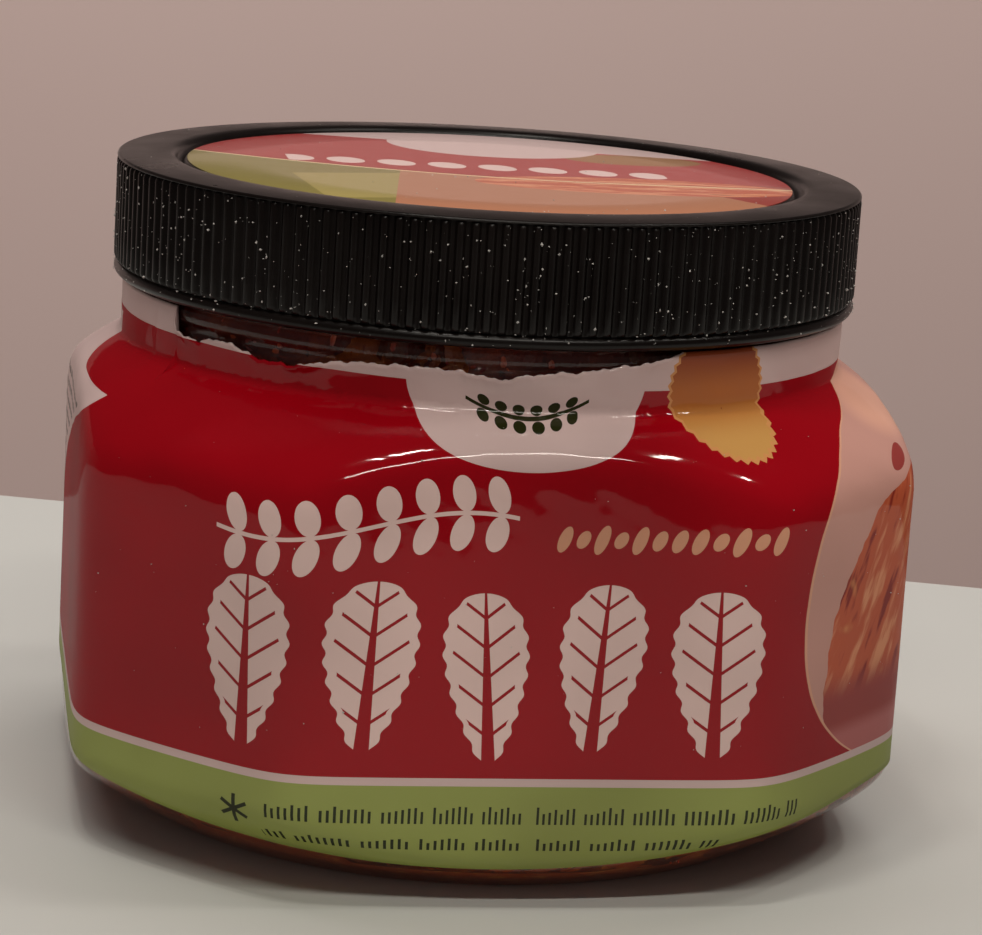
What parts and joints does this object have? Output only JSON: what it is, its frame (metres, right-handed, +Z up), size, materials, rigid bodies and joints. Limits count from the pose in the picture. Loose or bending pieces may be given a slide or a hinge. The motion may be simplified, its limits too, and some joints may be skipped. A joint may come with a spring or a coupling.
{
  "type": "kimchi jar",
  "caption": "Squarish clear plastic food jar with cut corners and a round neck, filled with sliced kimchi, with a ribbed screw lid and a torn printed sleeve.",
  "frame": {"origin": "middle of the base, on the surface that the jar stands on", "axes": "+Z up through the lid; -Y out of the printed front face; +X to the right of someone facing the front"},
  "size_m": [0.09, 0.09, 0.0704],
  "materials": {
    "clear_plastic": "clear moulded plastic, glossy",
    "kimchi": "wet sliced cabbage in red pepper brine",
    "sleeve_film": "glossy printed shrink film",
    "lid_plastic": "satin black moulded plastic with dust",
    "label_film": "printed film label"
  },
  "bodies": {
    "root": {"jar": "clear_plastic", "kimchi": "kimchi", "sleeve": "sleeve_film", "lid": "lid_plastic", "lid_label": "label_film"}
  },
  "joints": []
}
